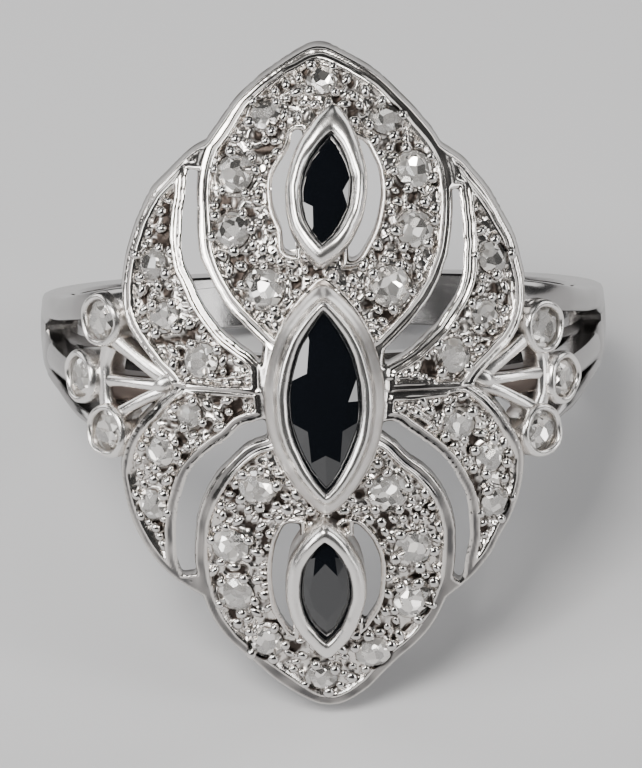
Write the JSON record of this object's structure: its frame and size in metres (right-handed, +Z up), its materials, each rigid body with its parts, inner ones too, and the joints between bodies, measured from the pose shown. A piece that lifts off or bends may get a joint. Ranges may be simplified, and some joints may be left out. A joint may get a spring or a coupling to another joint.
{
  "type": "sapphire and diamond ring",
  "caption": "Long domed plaque finger ring with pierced leaf and wing outlines, three marquise sapphires, small diamonds set all over and split shoulders.",
  "frame": {"origin": "on the floor under the middle of the ring's bounding box, as it lies on the lower tip of its head and the flat of its hoop's back", "axes": "+X across the finger to the right as the head is seen from the front, +Y away from the viewer, +Z up"},
  "size_m": [0.0204, 0.0246, 0.0211],
  "materials": {
    "white_gold": "polished",
    "sapphire": "cut and polished",
    "diamond": "cut and polished"
  },
  "bodies": {
    "root": {"ring_metal": "white_gold", "sapphire_centre": "sapphire", "sapphire_top": "sapphire", "sapphire_bottom": "sapphire", "diamond_01": "diamond", "diamond_02": "diamond", "diamond_03": "diamond", "diamond_04": "diamond", "diamond_05": "diamond", "diamond_06": "diamond", "diamond_07": "diamond", "diamond_08": "diamond", "diamond_09": "diamond", "diamond_10": "diamond", "diamond_11": "diamond", "diamond_12": "diamond", "diamond_13": "diamond", "diamond_14": "diamond", "diamond_15": "diamond", "diamond_16": "diamond", "diamond_17": "diamond", "diamond_18": "diamond", "diamond_19": "diamond", "diamond_20": "diamond", "diamond_21": "diamond", "diamond_22": "diamond", "diamond_23": "diamond", "diamond_24": "diamond", "diamond_25": "diamond", "diamond_26": "diamond", "diamond_27": "diamond", "diamond_28": "diamond", "diamond_29": "diamond", "diamond_30": "diamond", "shoulder_diamond_01": "diamond", "shoulder_diamond_02": "diamond", "shoulder_diamond_03": "diamond", "shoulder_diamond_04": "diamond", "shoulder_diamond_05": "diamond", "shoulder_diamond_06": "diamond"}
  },
  "joints": []
}
